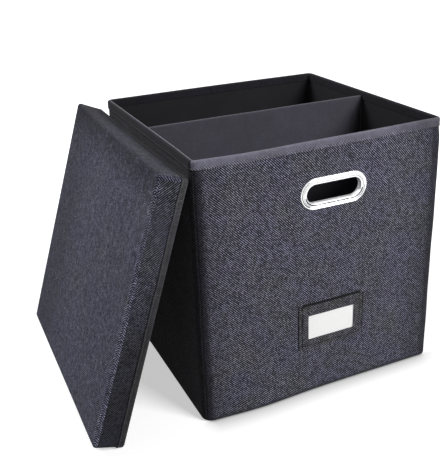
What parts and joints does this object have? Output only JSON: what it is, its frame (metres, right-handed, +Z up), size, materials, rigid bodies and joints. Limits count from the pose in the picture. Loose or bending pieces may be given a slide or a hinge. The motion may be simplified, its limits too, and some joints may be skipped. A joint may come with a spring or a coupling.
{
  "type": "record storage case",
  "caption": "Cloth-covered rigid storage case for records, with a lift-off lid, oval metal hand holes, a label pocket, a loose base board and a divider.",
  "frame": {"origin": "on the floor under the middle of the case", "axes": "+X along the front wall to the right, +Y from the front wall to the back, +Z up"},
  "size_m": [0.5075, 0.3858, 0.369],
  "materials": {
    "case_cloth": "coarse two-tone charcoal weave",
    "hem_cloth": "folded charcoal weave, pressed smooth",
    "base_cloth": "plain dark cloth",
    "lining_cloth": "smooth near-black non-woven lining",
    "divider_cloth": "plain dark navy cloth",
    "greyboard": "pressed greyboard",
    "ring_metal": "polished plate",
    "washer_metal": "plain plated steel",
    "clear_film": "clear flexible film",
    "card_paper": "matt card"
  },
  "bodies": {
    "case": {"front_cover": "case_cloth", "back_cover": "case_cloth", "left_cover": "case_cloth", "right_cover": "case_cloth", "bottom_cover": "base_cloth", "front_board": "greyboard", "back_board": "greyboard", "left_board_front": "greyboard", "left_board_rear": "greyboard", "right_board_front": "greyboard", "right_board_rear": "greyboard", "front_lining": "lining_cloth", "back_lining": "lining_cloth", "left_lining": "lining_cloth", "right_lining": "lining_cloth", "rim_hem": "hem_cloth", "front_hand_ring": "ring_metal", "front_hand_washer": "washer_metal", "back_hand_ring": "ring_metal", "back_hand_washer": "washer_metal", "label_pocket": "case_cloth", "label_window": "clear_film"},
    "lid": {"lid_cover": "case_cloth", "lid_hem": "hem_cloth", "lid_top_board": "greyboard", "lid_foot_board": "greyboard", "lid_head_board": "greyboard", "lid_rear_board": "greyboard", "lid_front_board": "greyboard", "lid_lining": "lining_cloth"},
    "base_board": {"base_board_core": "greyboard", "base_board_wrap": "lining_cloth"},
    "divider": {"divider_board": "greyboard", "divider_sleeve": "divider_cloth"},
    "label_card": {"label_card": "card_paper"}
  },
  "joints": [
    {"name": "lid_lift", "type": "slide", "parent": "case", "child": "lid", "axis": [-0.1736, 0, 0.9848], "range_m": [0, 0.4]},
    {"name": "base_board_lift", "type": "slide", "parent": "case", "child": "base_board", "axis": [0, 0, 1], "range_m": [0, 0.375]},
    {"name": "divider_lift", "type": "slide", "parent": "base_board", "child": "divider", "axis": [0, 0, 1], "range_m": [0, 0.37]},
    {"name": "label_card_slide", "type": "slide", "parent": "case", "child": "label_card", "axis": [0, 0, 1], "range_m": [0, 0.065]}
  ]
}
